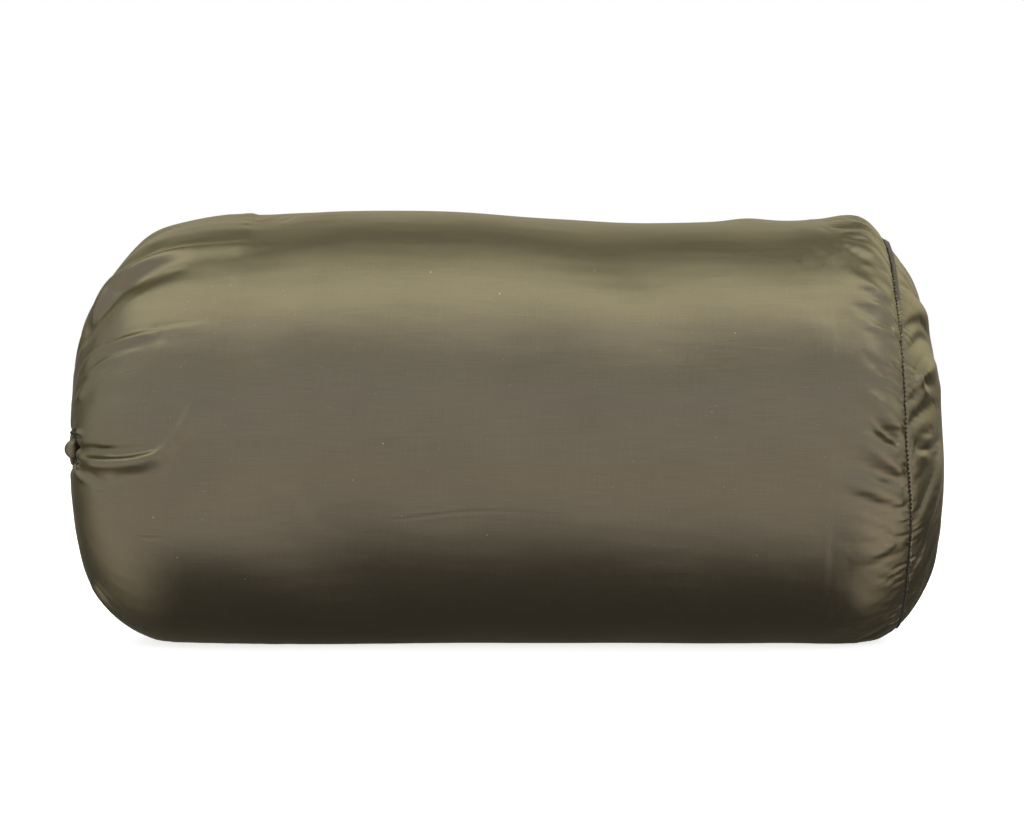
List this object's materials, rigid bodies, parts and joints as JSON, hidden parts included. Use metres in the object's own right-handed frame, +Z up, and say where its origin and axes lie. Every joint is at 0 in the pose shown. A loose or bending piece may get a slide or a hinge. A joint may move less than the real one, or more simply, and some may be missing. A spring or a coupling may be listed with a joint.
{
  "type": "packed bivy sack",
  "caption": "Bivy bag rolled up inside its round-based drawcord stuff sack, lying on its side, with a sprung cord lock on the gathered mouth and a zip on the roll inside",
  "frame": {"origin": "centre of the flat that the lying sack rests on, at ground level", "axes": "+Z up, +X along the sack towards the sewn round base, -X to the drawcord mouth, -Y the front"},
  "size_m": [0.4363, 0.217, 0.214],
  "materials": {
    "sack_cloth": "plain-weave nylon taffeta with a soft sheen",
    "binding_tape": "woven binding tape",
    "thread": "sewing thread",
    "cord": "braided cord",
    "bivy_laminate": "waterproof breathable laminate",
    "coated_floor": "coated nylon floor cloth",
    "insect_net": "fine mesh",
    "zip_tape": "woven zip tape",
    "zip_nylon": "moulded nylon",
    "zip_metal": "die-cast metal",
    "black_plastic": "moulded plastic",
    "spring_steel": "spring wire",
    "webbing": "narrow webbing"
  },
  "bodies": {
    "sack": {"sack_tube": "sack_cloth", "sack_base": "sack_cloth", "side_seam_fell": "sack_cloth", "mouth_casing": "sack_cloth", "base_seam_binding": "binding_tape", "base_seam_stitching": "thread", "side_seam_thread_upper": "thread", "side_seam_thread_lower": "thread", "casing_stitching": "thread", "drawcord": "cord", "hood_drawcord": "cord", "bivy_top": "bivy_laminate", "bivy_hood": "bivy_laminate", "hood_hem": "bivy_laminate", "bivy_floor": "coated_floor", "insect_net": "insect_net", "zip_tape_body": "zip_tape", "zip_tape_hood": "zip_tape", "zip_teeth_body": "zip_nylon", "zip_teeth_hood": "zip_nylon", "zip_stop_open_end": "zip_metal", "zip_stop_closed_end": "zip_metal", "peg_loop_foot_left": "webbing", "peg_loop_foot_right": "webbing", "peg_loop_head_left": "webbing", "peg_loop_head_right": "webbing"},
    "cord_lock": {"cord_lock_barrel": "black_plastic", "cord_lock_spring": "spring_steel"},
    "cord_lock_button": {"cord_lock_plunger": "black_plastic"},
    "cord_tail": {"drawcord_tail": "cord"},
    "zip_slider": {"zip_slider": "zip_metal"},
    "zip_pull": {"zip_pull": "zip_metal"},
    "hood_lock": {"hood_lock_barrel": "black_plastic", "hood_lock_spring": "spring_steel"},
    "hood_lock_button": {"hood_lock_plunger": "black_plastic"}
  },
  "joints": [
    {"name": "cord_lock_slide", "type": "slide", "parent": "sack", "child": "cord_lock", "axis": [0, 1, 0], "range_m": [0, 0.022], "stiffness_N_per_m": 10},
    {"name": "cord_lock_press", "type": "slide", "parent": "cord_lock", "child": "cord_lock_button", "axis": [0, 0, -1], "range_m": [0, 0.003], "stiffness_N_per_m": 900, "deforming": ["cord_lock_spring"]},
    {"name": "cord_tail_swing", "type": "hinge", "parent": "sack", "child": "cord_tail", "pos_m": [-0.19484, 0.08366, 0.08601], "axis": [0.8013, -0.5983, 0], "range_deg": [-28, 35]},
    {"name": "zip_slide", "type": "slide", "parent": "sack", "child": "zip_slider", "axis": [-1, 0, 0], "range_m": [0, 0.24], "stiffness_N_per_m": 1},
    {"name": "zip_pull_flip", "type": "hinge", "parent": "zip_slider", "child": "zip_pull", "pos_m": [0.1414, 0, 0.2038], "axis": [0, 1, 0], "range_deg": [0, 15]},
    {"name": "hood_lock_slide", "type": "slide", "parent": "sack", "child": "hood_lock", "axis": [0, -0.8974, -0.4413], "range_m": [-0.012, 0.01], "stiffness_N_per_m": 20},
    {"name": "hood_lock_press", "type": "slide", "parent": "hood_lock", "child": "hood_lock_button", "axis": [0, -0.4413, 0.8974], "range_m": [0, 0.003], "stiffness_N_per_m": 900, "deforming": ["hood_lock_spring"]}
  ]
}
